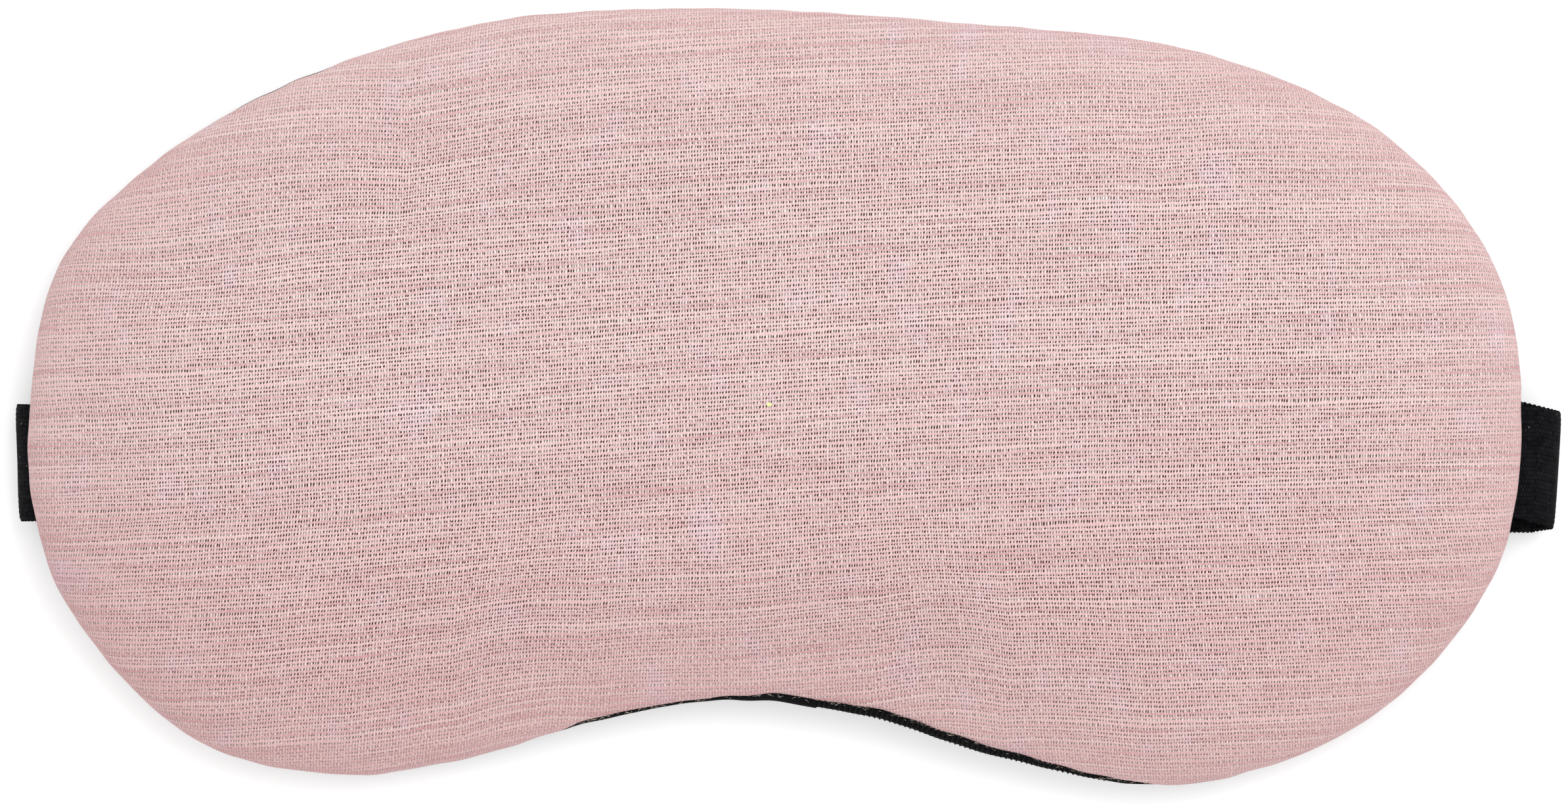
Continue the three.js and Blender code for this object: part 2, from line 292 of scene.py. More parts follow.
# %% [markdown]
# ## Small unevenness
# Sewn cloth over wadding is never quite even. Two things show: a slow waviness of the face, and
# small puckers that fan out from the seam, where the allowance bunches. Each is a sum of sine
# waves with seeded phases, so it is the same every time.

# %% Waviness and puckers
dice = np.random.RandomState(7)


def draw_waves(wavelengths):
    """Wavelength, direction and phase of each wave of a slow unevenness."""
    return [(length, *dice.uniform(0, 2 * PI, 2)) for length in wavelengths]


def waves(x, y, drawn):
    """A sum of plane waves, each as high as it is long, scaled to heights of about 1."""
    total = sum(length * np.sin((x * np.cos(turn) + y * np.sin(turn)) * 2 * PI / length + phase)
                for length, turn, phase in drawn)
    return total / sum(length for length, _, _ in drawn)


def puckers(length, amplitude):
    """A sum of waves along the edge that close up round the outline."""
    total = np.zeros_like(length)
    for count in np.round(edge_total / np.array(pucker_lengths)):
        strength, phase = dice.uniform(0.4, 1.0), dice.uniform(0, 2 * PI)
        total += strength * np.sin(length * 2 * PI * count / edge_total + phase)
    return amplitude * total / 3


edge_total = edge_length[-1] + np.linalg.norm(outline[0] - outline[-1])
pucker_lengths = (5.2, 6.6, 8.3, 10.7, 13.1, 17.0)
pucker_height = 0.16
face_waves = draw_waves((31, 43, 58, 77))
fluff_waves = draw_waves((5, 7, 11, 19))
pucker = puckers(edge_length, pucker_height)

# %% [markdown]
# ## Rings from the middle to the seam
# Every skin is a stack of rings: some grow from the middle of the face out to its shoulder, and
# the rest go over the rounded edge to the seam. A ring's share is 0 in the middle and 1 at the
# seam. Rings of different skins with the same share lie over each other, so a movement worked out
# for one skin can be given to the others, and no inside comes through its outside.

# %% Rings
pole = np.array([2.0, 7.0])
spine_half, spine_y = 52.0, 2.0
crown = 0.2
crown_start = 8.0
face_unevenness = 0.45
uneven_ease = 12.0


def ring_share(rows_in, rows_rim):
    """How far out each ring is: 0 in the middle, a half at the shoulder, 1 at the seam."""
    return np.concatenate([np.linspace(0, 0.5, rows_in, endpoint=False),
                           np.linspace(0.5, 1, rows_rim)])


def place(inset, share, z):
    """Lifted points at an inset from the edge and a share of the way to the pole.

    Deep in, the inset heads for a straight spine along the pillow, so that rings never cross.
    """
    nearest_x = np.clip(outline[:, 0], -spine_half, spine_half)
    to_spine = np.column_stack([nearest_x, np.full(around, spine_y)]) - outline
    to_spine /= np.linalg.norm(to_spine, axis=1)[:, None]
    heading = mix(inward[None], to_spine[None], smooth(inset, 0, front_shoulder)[..., None])
    heading /= np.linalg.norm(heading, axis=-1, keepdims=True)
    flat = mix(outline[None] + heading * inset[..., None], pole, share[..., None])
    x, y = flat[..., 0], flat[..., 1]
    return np.stack([x, y, lift(x, y, z)], axis=-1)


def skin(side, depth, rows_in, rows_rim, end, moved=None):
    """Rings of points from the middle to the seam, with their inset, share and angle."""
    still = np.ones((rows_in, around))
    top = np.array(side * PI / 2)
    angle = mix(top, end[None, :], np.linspace(0, 1, rows_rim)[:, None])
    inset, z = section(depth, angle)
    top_inset, top_z = section(depth, top)
    inset, z = np.vstack([still * top_inset, inset]), np.vstack([still * top_z, z])
    inner_share = np.linspace(1, 0, rows_in, endpoint=False)[:, None] * still
    share = np.vstack([inner_share, np.zeros((rows_rim, around))])
    points = place(inset, share, z)
    if side > 0:
        uneven = face_unevenness * waves(points[..., 0], points[..., 1], face_waves)
        points[..., 2] += (crown * smooth(share, 0, 1)
                           + crown / 2 * smooth(inset, crown_start, front_shoulder))
        points[..., 2] += uneven * smooth(inset, 0, uneven_ease)
        if moved is not None:
            points += spread(moved, ring_share(rows_in, rows_rim))
    return points, inset, share, np.vstack([still * top, angle])


# %% [markdown]
# ## Filling it with air
# The crown of a stuffed cushion is the shape cloth takes when it is pushed out from inside. A
# formula only guesses at it, so the face's last millimetre comes from a short cloth simulation:
# the pillow is remeshed evenly, blown up with a light pressure and let settle. The movement is
# capped, averaged over a few millimetres and faded out towards the seam, then handed to every
# front skin.

# %% Cloth simulation
voxel = 4.0
pressure = 0.8
sim_frames = 20
move_cap = 2.0
move_radius = 3.5
field_rows = (22, 23)
field_column = 2.0
field_fade = (0.82, 0.98)
coarse_rows = (12, 14)
coarse_column = 6


def simulated_swelling():
    """How far each point of a coarse front skin moves when the pillow is blown up."""
    front, back = (skin(side, 0.0, *coarse_rows, seam_angle)[0][:, ::coarse_column]
                   for side in (1, -1))
    body = grid_mesh("inflating", np.concatenate([front, back[::-1][1:]]), poles=True)
    remesh = body.modifiers.new("even", "REMESH")
    remesh.mode = "VOXEL"
    remesh.voxel_size = voxel * MM
    depsgraph = bpy.context.evaluated_depsgraph_get()
    body.data = bpy.data.meshes.new_from_object(body.evaluated_get(depsgraph))
    body.modifiers.clear()
    rest = positions(body.data)
    cloth_modifier = body.modifiers.new("cloth", "CLOTH")
    settings = cloth_modifier.settings
    settings.use_pressure = True
    settings.uniform_pressure_force = pressure
    settings.effector_weights.gravity = 0
    for number in range(1, sim_frames + 1):
        bpy.context.scene.frame_set(number)
    depsgraph = bpy.context.evaluated_depsgraph_get()
    after = positions(body.evaluated_get(depsgraph).data)
    bpy.context.scene.frame_set(1)
    bpy.data.objects.remove(body)
    return averaged(rest, after - rest)


def positions(mesh):
    """A mesh's points in millimetres."""
    flat = np.empty(len(mesh.vertices) * 3, dtype=np.float32)
    mesh.vertices.foreach_get("co", flat)
    return flat.reshape(-1, 3) / MM


def averaged(rest, moves):
    """The capped moves, averaged with a bell curve round each point of the front skin."""
    size = np.linalg.norm(moves, axis=1, keepdims=True) + 1e-9
    moves = moves / size * move_cap * np.tanh(size / move_cap)
    points = skin(1, 0.0, *field_rows, seam_angle)[0][:, field_columns].astype(np.float32)
    field = np.empty(points.shape)
    for row, ring in enumerate(points):
        apart = ((ring[:, None] - rest[None]) ** 2).sum(axis=-1)
        weight = np.exp(-apart / (2 * move_radius**2))
        field[row] = weight @ moves / weight.sum(axis=1, keepdims=True)
    fade = 1 - smooth(ring_share(*field_rows), *field_fade)
    return field * fade[:, None, None]


def spread(field, out):
    """The field at other rings and at every column, linear between its own."""
    known = edge_length[field_columns]
    along = np.stack([
        [np.interp(edge_length, known, row[:, k], period=edge_total) for k in range(3)]
        for row in field
    ]).transpose(0, 2, 1)
    own = ring_share(*field_rows)
    upper = np.clip(np.searchsorted(own, out), 1, len(own) - 1)
    part = ((out - own[upper - 1]) / (own[upper] - own[upper - 1]))[:, None, None]
    return mix(along[upper - 1], along[upper], part)


field_columns = np.searchsorted(edge_length, np.arange(0, edge_length[-1], field_column))
swelling = np.zeros((sum(field_rows), len(field_columns), 3))
swelling = simulated_swelling()
print(f"the face rises by {swelling[..., 2].min():.2f} to {swelling[..., 2].max():.2f} mm")

# %% [markdown]
# ## The two covers
# Each cover is one closed skin: the outside from its middle out to the seam, the allowance turned
# in, and the inside back to the middle. A solidify modifier could give the thickness, but not the
# turned-in edge, which makes the seam look sewn. The cover's map says where each point lay on the
# flat cloth, so the weave runs over the edge without stretching.

# %% Cover grids
rows_in = 24
rows_rim = 30
seam_dent, dent_width = 0.3, 0.45
pucker_reach = 4.0
serration_pitch = 0.74
serration_depth = 0.07
rim_angle, rim_spread = 0.3, 0.35
seam_half_gap = 0.15
fold_inset = 2.0
open_power = 0.7


def cover(side, moved):
    """The skin of one panel, its points' places on the flat cloth, and how open the weave is,
    which also sets the painted shade at the rim.
    """
    points, _, _, angle = skin(side, 0.0, rows_in, rows_rim, seam_angle, moved)
    level = np.cos(angle)[..., None]
    outward = np.broadcast_to(-inward[None], (*angle.shape, 2))
    normal = np.concatenate([outward * level, np.sin(angle)[..., None]], axis=-1)
    from_seam = np.linalg.norm(points - points[-1][None], axis=-1)
    push = (np.exp(-from_seam / pucker_reach) * pucker[None]
            - seam_dent * np.exp(-(from_seam / dent_width) ** 2))
    if side < 0:
        serration = serration_depth * np.abs(np.sin(edge_length * PI / serration_pitch))
        serration = serration * smooth(rim_shown, 0.1, 0.5) * (outline[:, 0] > lip_end)
        push += np.exp(-((angle - rim_angle) / rim_spread) ** 2) * (lip + serration)[None]
    points += normal * push[..., None]

    step = np.diff(points, axis=0)
    extra = np.linalg.norm(step, axis=-1) + (step[..., :2] * inward[None]).sum(axis=-1)
    extra[:rows_in] = 0
    extra = np.vstack([np.zeros(around), np.cumsum(extra, axis=0)])
    flat = points[..., :2] - inward[None] * extra[..., None]

    seam_inset = section(0.0, seam_angle)[0]
    turned = [(fold_inset, 0.0), (allowance, 0.0), (allowance, cloth), (fold_inset, cloth)]
    rings = np.stack([
        np.column_stack([outline + inward * (seam_inset + inside)[:, None],
                         points[-1, :, 2] + side * (seam_half_gap + thick)])
        for inside, thick in turned
    ])
    inner = skin(side, cloth, rows_in // 2, rows_rim // 2, inner_end(side), moved)[0][::-1]
    everything = np.concatenate([points, rings, inner])
    flat = np.concatenate([flat, everything[len(points):, :, :2]])
    hidden = np.ones((len(everything) - len(points), around))
    return everything, flat, np.concatenate([np.abs(np.sin(angle)) ** open_power, hidden])


def inner_end(side):
    """The angle at which the inside of a cover meets its turned-in allowance."""
    height = section(0.0, seam_angle)[1] + side * (cloth + seam_half_gap)
    rise = np.where(height > edge_height, loft - edge_height, edge_height) - cloth
    value = np.clip((height - edge_height) / rise, -1, 1)
    return np.sign(value) * np.arcsin(np.abs(value) ** (fullness / 2))


# %% [markdown]
# ## How the weave lies
# Cloth is cut a little off its grain: here the weft threads climb to the right, most on the left
# half and least on the right. Subtracting that climb turns the map into weave coordinates.

# %% Weave map
map_scale = 0.01
climb_table = np.array([
    (-110, 0.03), (-95, 0.042), (-83, 0.055), (-70, 0.08), (-56, 0.098), (-42, 0.09),
    (-29, 0.08), (0, 0.074), (24, 0.052), (51, 0.028), (82, 0.025), (110, 0.025),
])
climb_x = np.linspace(-130, 130, 521)
climb_slope = np.interp(climb_x, *climb_table.T)
climb_y = np.cumsum(climb_slope) * (climb_x[1] - climb_x[0])
warp_lean = 0.01
warp_fan = 0.0012
fan_from = -15.0


def weave_map(flat):
    """Flat positions to weave coordinates: x along the weft, y along the warp, in 100 mm."""
    x, y = flat[..., 0], flat[..., 1]
    fan = warp_fan * np.clip(fan_from - y, 0, None) * x
    climb = np.interp(x, climb_x, climb_y)
    return np.stack([x + warp_lean * y - fan, y - climb], axis=-1) * map_scale


centre = np.array([centre_x, 0, 0])
covers = {}
for name, side in (("front_cover", 1), ("back_cover", -1)):
    skin_points, flat, openness_and_rim_shade = cover(side, swelling)
    piece = grid_mesh(name, skin_points + centre, weave_map(flat), poles=True, values=openness_and_rim_shade)
    covers[name] = piece, flat

# %% [markdown]
# ## The filling
# Two soft layers of wadding fill the pillow. Only an open seam or a cut-away would show them, so
# they are pads with the same section, a little inside the covers, and a loose surface.

# %% Filling
pad_depth = 1.3
pad_shelf = 10.5
pad_middle = 16.0
pad_lip = np.radians(24)
pad_gap = 0.3
pad_turn = 1.2
pad_rows, inner_rows = (14, 16), 6
fluff_height = 0.25


def pad(name, side):
    """A closed pad between one cover and the mid surface of the pillow."""
    end = np.clip(seam_angle + side * pad_lip, -pad_turn, pad_turn)
    outer, _, share, _ = skin(side, pad_depth, *pad_rows, end, swelling)
    shares = np.linspace(0, 1, inner_rows)[:, None] * np.ones(around)
    middle = np.full_like(shares, loft / 2 + side * pad_gap)
    inner = place(np.full_like(shares, pad_middle), shares, middle)
    nothing = np.zeros((1, around))
    shelf = place(np.full((1, around), pad_shelf), nothing, nothing)
    shelf[0, :, 2] = outer[-1, :, 2]
    points = np.concatenate([outer, shelf, inner])
    fluff = fluff_height * waves(points[..., 0], points[..., 1], fluff_waves)
    still = np.zeros((len(points) - len(outer), around))
    points[..., 2] += fluff * np.concatenate([smooth(share, 0, 0.3), still])
    return grid_mesh(name, points[:, ::coarse_column] + centre, poles=True)


fillings = {name: pad(name, side) for name, side in (("front_filling", 1), ("back_filling", -1))}

# %% [markdown]
# ## The closing stitches
# The pillow was turned right side out through a gap in the notch, and the gap was closed by hand
# with a whip stitch. The thread goes over the rim and back through both edges, so it is one long
# helix, and its turns make the edge look finely toothed.

# %% Closing stitches
stitch_radius = 0.11
stitch_pitch = 0.72
stitch_samples = 14
gap_end = 45.0
bite, overhang = 0.35, 0.02
above_rim, below_edge = 0.25, 1.4


def tube(spine, radius, sides):
    """Rings of points round a path: each lies across the path's own direction."""
    ahead = np.gradient(spine, axis=0)
    ahead /= np.linalg.norm(ahead, axis=-1, keepdims=True)
    right = np.cross(ahead, (0.0, 0.0, 1.0))
    right /= np.linalg.norm(right, axis=-1, keepdims=True) + 1e-9
    up = np.cross(right, ahead)
    turn = np.linspace(0, 2 * PI, sides, endpoint=False)
    ring = np.cos(turn)[:, None] * right[:, None] + np.sin(turn)[:, None] * up[:, None]
    return spine[:, None] + np.reshape(radius, (-1, 1, 1)) * ring


gap = np.flatnonzero(lower & (outline[:, 0] > lip_end) & (outline[:, 0] < gap_end))
gap = gap[np.argsort(outline[gap, 0])]
gap_length = np.abs(edge_length[gap] - edge_length[gap[0]])
turns = int(gap_length[-1] / stitch_pitch)
along = np.linspace(0, gap_length[-1], turns * stitch_samples)
edge_at = np.stack([np.interp(along, gap_length, outline[gap, k]) for k in (0, 1)], axis=1)
in_at = np.stack([np.interp(along, gap_length, inward[gap, k]) for k in (0, 1)], axis=1)
rim_at = np.interp(along, gap_length, rim_shown[gap])
phase = along * 2 * PI / stitch_pitch
half_in = 0.5 * rim_at + bite
inset_at = half_in * (1 - np.cos(phase)) - overhang
top_at = section(0.0, np.interp(along, gap_length, roll_angle[gap]))[1] + above_rim
low_at = edge_height - below_edge
height_at = (top_at + low_at) / 2 + (top_at - low_at) / 2 * np.sin(phase)
spine = np.column_stack([edge_at + in_at * inset_at[:, None], height_at])
closing_stitches = grid_mesh("closing_stitches", tube(spine, stitch_radius, 6) + centre)

# %% [markdown]
# ## Ravelled fibres
# Cut edges inside a seam shed fibres, and some work out along the notch as a thin pale fuzz. Hair
# particles don't export, so each fibre is a short bent tube with three sides, and all of them are
# one mesh.

# %% Fibres
fibre_count = 150
fibre_rings = 6
fibre_radius = 0.02
fibre_lengths = (0.2, 0.75)
fibre_bend, fibre_sway, fibre_tilt, out_lean = 0.35, 0.5, 0.4, 0.35
fibre_depth, fibre_rise = 0.3, 0.25
ravel_from, ravel_to = -34, 52


def fibres(name, places, directions, lengths, radius):
    """Short bent tubes: each starts at its place and curls a little to one side as it goes."""
    t = np.linspace(0, 1, fibre_rings)[None, :, None]
    lengths = np.reshape(lengths, (-1, 1, 1))
    bend = dice.normal(0, fibre_bend, (len(places), 1, 3)) * lengths
    spines = places[:, None] + directions[:, None] * lengths * t + bend * t**2
    points, faces = [], []
    following = (np.arange(3) + 1) % 3
    for spine in spines:
        base = len(points) * fibre_rings * 3
        points.append(tube(spine, radius * np.linspace(1, 0.4, fibre_rings), 3).reshape(-1, 3))
        at = base + np.arange(fibre_rings * 3).reshape(fibre_rings, 3)
        side = np.stack([at[:-1], at[:-1][:, following], at[1:][:, following], at[1:]], axis=-1)
        faces += side.reshape(-1, 4).tolist() + [at[0][::-1].tolist(), at[-1].tolist()]
    piece = new_piece(name, np.concatenate(points), faces)
    clean_mesh(piece.data)
    return piece


ravel = np.flatnonzero(lower & (outline[:, 0] > ravel_from) & (outline[:, 0] < ravel_to))
pick = dice.choice(ravel, fibre_count)
seam_inset, seam_height = section(0.0, seam_angle)
in_from_edge = seam_inset[pick] + dice.uniform(0.0, fibre_depth, fibre_count)
spot = outline[pick] + inward[pick] * in_from_edge[:, None]
spot = np.column_stack([spot, seam_height[pick] + dice.uniform(0.0, fibre_rise, fibre_count)])
sway = dice.normal(0, fibre_sway, fibre_count)[:, None]
either_way = np.sign(dice.uniform(-1, 1, fibre_count))[:, None]
heading = tangent[pick] * either_way - inward[pick] * np.abs(sway) * out_lean
heading = np.column_stack([heading, dice.uniform(0, fibre_tilt, fibre_count)])
lengths = dice.uniform(*fibre_lengths, fibre_count)
raw_edge = fibres("ravelled_fibres", spot + centre, heading, lengths, fibre_radius)

# %% [markdown]
# ## The strap
# The strap is one flat elastic, 16 mm wide. Woven elastic has scalloped edges, where the weft
# turns back, and soft rounded sides. So its section, a flat oval, is carried along a path, and its
# width swells and shrinks once for every weft. It is made in five stretches that meet end to end;
# the loops of the real strap can be drawn out.

# %% Strap section and sweep
scallop_pitch = 0.6
scallop_depth = 0.18
core_pitch = 0.7
core_depth = 0.07
section_points = 132
squareness, flatness = 0.28, 0.75


def strap_piece(name, path, start):
    """A flat oval section swept along a path of x, y, z and lean, scalloped at both edges."""
    spot, lean = path[:, :3], path[:, 3]
    gap = np.linalg.norm(np.diff(spot[:, [0, 2]], axis=0), axis=1)
    length = start + np.concatenate([[0], np.cumsum(gap)])
    along = np.gradient(spot[:, [0, 2]], axis=0)
    along /= np.linalg.norm(along, axis=1)[:, None]
    face = np.stack([-along[:, 1], along[:, 0]], axis=1)
    turn = np.linspace(0, 2 * PI, section_points, endpoint=False)
    across = np.sign(np.cos(turn)) * np.abs(np.cos(turn)) ** squareness
    thick = np.sign(np.sin(turn)) * np.abs(np.sin(turn)) ** flatness
    half = elastic_width / 2 - scallop_depth * (1 - np.abs(np.sin(length * PI / scallop_pitch)))
    y = spot[:, 1, None] + half[:, None] * across[None]
    core = core_depth * (np.abs(np.sin(PI * y / core_pitch)) - 1) * np.sign(thick)[None]
    rise = (elastic / 2) * thick[None] + core
    x = spot[:, 0, None] + face[:, 0, None] * rise + lean[:, None] * across[None]
    z = spot[:, 2, None] + face[:, 1, None] * rise
    points = np.stack([x, y, z], axis=-1)
    lengthwise = np.broadcast_to(length[:, None], x.shape)
    uv = np.stack([lengthwise, half[:, None] * across[None]], axis=-1) * map_scale
    return grid_mesh(name, points, uv), length[-1]


# %% [markdown]
# ## The strap's path
# Each side leaves its seam at the height of the seam, folds down to the table and runs back under
# the pillow. The right loop stands out further and slopes down as it leaves. Both sides' slack
# meets in a flat Z of three layers behind the middle of the pillow.

# %% Strap paths
levels = table_gap + elastic / 2 + layer_pitch * np.arange(3)
sewn_in = 5.0
lean_start = 3.0
fold_samples = 24


def loop_sizes(side):
    """Where a loop ends and leaves the seam, and the height of its front layer."""
    low, high = node_box("right_strap_loop" if side > 0 else "left_strap_loop")
    tip = high[0] if side > 0 else low[0]
    seam = low[0] if side > 0 else high[0]
    return tip, seam, high[2] - elastic / 2


def loop_path(side, step, drop, slope_out, slope_back, lean):
    """The front layer and fold of one side, down to the table, as x, y, z and lean."""
    tip, seam, top = loop_sizes(side)
    bottom = levels[0]
    half_high = (top - bottom) / 2
    half_wide = min(half_high, abs(tip - seam) - elastic / 2)
    fold = tip - side * (half_wide + elastic / 2)
    start = seam - side * sewn_in
    out = np.arange(0, abs(fold - start), step)
    x_out = start + side * out
    z_out = np.full_like(out, top)
    turn = np.linspace(PI / 2, -PI / 2, int(PI * half_high / step))
    x_turn = fold + side * half_wide * np.cos(turn)
    z_turn = (top + bottom) / 2 + half_high * np.sin(turn)
    x = np.concatenate([x_out, x_turn])
    z = np.concatenate([z_out, z_turn])
    past = side * (x - tip)
    front = np.concatenate([np.ones_like(x_out), np.ones_like(turn) * (turn > 0)]).astype(bool)
    y = strap_y + drop + np.where(front, -past * slope_out, past * slope_back)
    leans = lean * smooth(side * x, abs(seam) - lean_start, abs(tip))
    return np.column_stack([x, y, z, leans]), (fold, len(x_out))


# Steps along the strap where it shows, where it goes under the pillow and where it is hidden.
FINE, PLAIN, COARSE = 0.11, 0.11 * 1.4, 0.5


def run_path(x0, x1, layer_from, layer_to, step=COARSE, y0=strap_y):
    """A straight stretch that eases from one layer to another, and from y0 to the strap's line."""
    count = max(int(abs(x1 - x0) / step), 2)
    x = np.linspace(x0, x1, count)
    share = smooth(np.abs(x - x0) / abs(x1 - x0), 0, 1)
    z = mix(levels[layer_from], levels[layer_to], share)
    return np.column_stack([x, mix(y0, strap_y, share), z, np.zeros(count)])


right_loop, (right_fold, right_split) = loop_path(
    1, FINE, drop=-1.1, slope_out=0.27, slope_back=0.17, lean=0.5)
left_loop, (left_fold, left_split) = loop_path(
    -1, FINE, drop=-0.05, slope_out=0.0, slope_back=0.0, lean=-0.26)
fold_radius = (levels[1] - levels[0]) / 2
slack_half = slack_high[0] - fold_radius - elastic / 2


def half_fold(x, z, side):
    """A half circle between two layers of the slack, opening away from side."""
    turn = np.linspace(-PI / 2, PI / 2, fold_samples)
    return np.column_stack([
        x + side * fold_radius * np.cos(turn), np.full(fold_samples, strap_y),
        z + fold_radius * np.sin(turn), np.zeros(fold_samples),
    ])


end = left_loop[-1]
shown_run = 42.0
ramp_start, ramp_length = 2, 28
left_shown = run_path(end[0], end[0] + shown_run, 0, 0, PLAIN, end[1])
left_back = run_path(end[0] + shown_run, slack_half, 0, 0)
left_run_path = np.vstack([left_loop[left_split:], left_shown[1:], left_back[1:]])
fold_a = half_fold(slack_half, levels[0] + fold_radius, 1)
middle = run_path(slack_half, -slack_half, 1, 1)
fold_b = half_fold(-slack_half, levels[1] + fold_radius, -1)
slack_path = np.vstack([fold_a, middle[1:-1], fold_b])
ramp_top, ramp_end = slack_half + ramp_start, slack_half + ramp_length
end = right_loop[-1]
over = run_path(-slack_half, ramp_top, 2, 2)
down = run_path(ramp_top, ramp_end, 2, 0)
shown_from = max(end[0] - shown_run, ramp_end + 1)
flat = run_path(ramp_end, shown_from, 0, 0)
right_shown = run_path(end[0], shown_from, 0, 0, PLAIN, end[1])[::-1]
right_run_path = np.vstack([
    over, down[1:], flat[1:-1], right_shown[:-1], right_loop[right_split:][::-1],
])

strap_length = 0.0
strap_pieces = {}
for name, path in (
    ("left_strap_front", left_loop[:left_split + 1]),
    ("left_strap_band", left_run_path),
    ("strap_slack", slack_path),
    ("right_strap_band", right_run_path),
    ("right_strap_front", right_loop[:right_split + 1][::-1]),
):
    strap_pieces[name], strap_length = strap_piece(name, path, strap_length)
print(f"strap: {strap_length:.0f} mm long")

# %% [markdown]
# ## Shader maths
# A shader is arithmetic on numbers that change over the surface. Node by node it is unreadable, so
# one small class wraps a socket and lets Python's operators add the Math nodes. Any other node
# comes from one method that takes its type, its settings and its inputs.

# %% Socket maths
class Wave:
    """A number socket that ordinary Python arithmetic works on."""

    def __init__(self, shop, socket):
        self.shop, self.socket = shop, socket

    def math(self, operation, *others):
        inputs = dict(enumerate((self, *others)))
        return self.shop.node("ShaderNodeMath", {"operation": operation}, inputs)

    def __rsub__(self, other):
        return self.shop.node("ShaderNodeMath", {"operation": "SUBTRACT"}, {0: other, 1: self})

    __add__ = __radd__ = partialmethod(math, "ADD")
    __sub__ = partialmethod(math, "SUBTRACT")
    __mul__ = __rmul__ = partialmethod(math, "MULTIPLY")
    __truediv__ = partialmethod(math, "DIVIDE")
    __pow__ = partialmethod(math, "POWER")

    def limit(self, low, high):
        """This value from low to high as 0 to 1, eased at both ends."""
        return self.shop.node("ShaderNodeMapRange", {"interpolation_type": "SMOOTHSTEP"},
                              {"Value": self, "From Min": low, "From Max": high})


class Shop:
    """Makes the nodes of one material."""

    def __init__(self, name):
        self.material = bpy.data.materials.new(name)
        self.material.use_nodes = True
        self.tree = self.material.node_tree
        self.shader = self.tree.nodes["Principled BSDF"]

    def node(self, kind, settings=None, inputs=None, output=0):
        made = self.tree.nodes.new(kind)
        for key, value in (settings or {}).items():
            setattr(made, key, value)
        for key, value in (inputs or {}).items():
            if isinstance(value, Wave):
                self.tree.links.new(value.socket, made.inputs[key])
            elif value is not None:
                made.inputs[key].default_value = value
        return Wave(self, made.outputs[output])

    def parts(self, vector):
        made = self.node("ShaderNodeSeparateXYZ", None, {0: vector}).socket.node
        return [Wave(self, made.outputs[k]) for k in range(3)]

    def join(self, x, y, z=0.0):
        return self.node("ShaderNodeCombineXYZ", None, {0: x, 1: y, 2: z})

    def noise(self, x, y, z, detail, roughness=0.5):
        """Smooth noise at a place whose unit is about one lump of it."""
        return self.noise_at(self.join(x, y, z), 1.0, detail, roughness)

    def noise_at(self, vector, scale, detail, roughness):
        inputs = {"Vector": vector, "Scale": scale, "Detail": detail, "Roughness": roughness}
        return self.node("ShaderNodeTexNoise", None, inputs)

    def random(self, x, y, z):
        """A number from 0 to 1 that is the same all over one thread or hole."""
        return self.node("ShaderNodeTexWhiteNoise", None, {"Vector": self.join(x, y, z)})

    def on_cloth(self):
        """Place on the flat cloth, in millimetres."""
        x, y, _ = self.parts(self.node("ShaderNodeUVMap", {"uv_map": "cloth"}))
        return x / map_scale, y / map_scale

    def on_object(self):
        """The object's own coordinates, in metres."""
        return self.node("ShaderNodeTexCoord", None, None, 3)

    def blend(self, share, low, high, kind="MIX"):
        made = self.tree.nodes.new("ShaderNodeMix")
        made.data_type = "RGBA"
        made.blend_type = kind
        for key, value in ((0, share), (6, low), (7, high)):
            if isinstance(value, Wave):
                self.tree.links.new(value.socket, made.inputs[key])
            else:
                made.inputs[key].default_value = value if key == 0 else (*value, 1.0)
        return Wave(self, made.outputs[2])

    def set(self, **values):
        for key, value in values.items():
            socket = self.shader.inputs[key.replace("_", " ")]
            if isinstance(value, Wave):
                self.tree.links.new(value.socket, socket)
            else:
                socket.default_value = value

    def bump(self, height, distance, strength):
        return self.node("ShaderNodeBump", None,
                         {"Height": height, "Distance": distance, "Strength": strength})


# %% [markdown]
# ## Plain weave
# In a plain weave every weft passes over one warp and under the next. Each thread is a rounded
# ridge that rises and sinks as it goes, and the height is the larger of the warp's ridge and the
# weft's. Slow noise pushes the rows about, and each row gets its own shade. Slubs are thicker,
# paler stretches of a thread, so their noise is stretched along it.

# %% Weave maths
class Weave:
    """Thread rows and columns on the cloth map: nearest thread, distance from it, and the gaps."""

    def __init__(self, shop, warp_pitch, weft_pitch, drift, waver):
        self.x, self.y = shop.on_cloth()
        rows_drift = (shop.noise(self.x * 0.03, self.y * 0.4, 0.0, 2.0) - 0.5) * drift
        columns_waver = (shop.noise(self.x * 0.7, self.y * 0.04, 7.0, 2.0) - 0.5) * waver
        jog = (shop.noise(self.x * 0.22, self.y * 0.9, 5.0, 1.0) - 0.5) * (0.3 * drift)
        self.u = (self.x + columns_waver) / warp_pitch
        self.v = (self.y + rows_drift + jog) / weft_pitch + (self.u * (2 * PI)).math("SINE") * 0.06
        self.column, self.row = self.u.math("ROUND"), self.v.math("ROUND")
        self.gap_column, self.gap_row = self.u.math("FLOOR"), self.v.math("FLOOR")
        self.from_warp = (self.u - self.column).math("ABSOLUTE")
        self.from_weft = (self.v - self.row).math("ABSOLUTE")


def ridge(offset, half_width):
    """Height of a rounded ridge at an offset from its middle, 1 at the top."""
    inside = 1.0 - (offset / half_width) ** 2.0
    return inside.math("MAXIMUM", 0.0).math("SQRT")
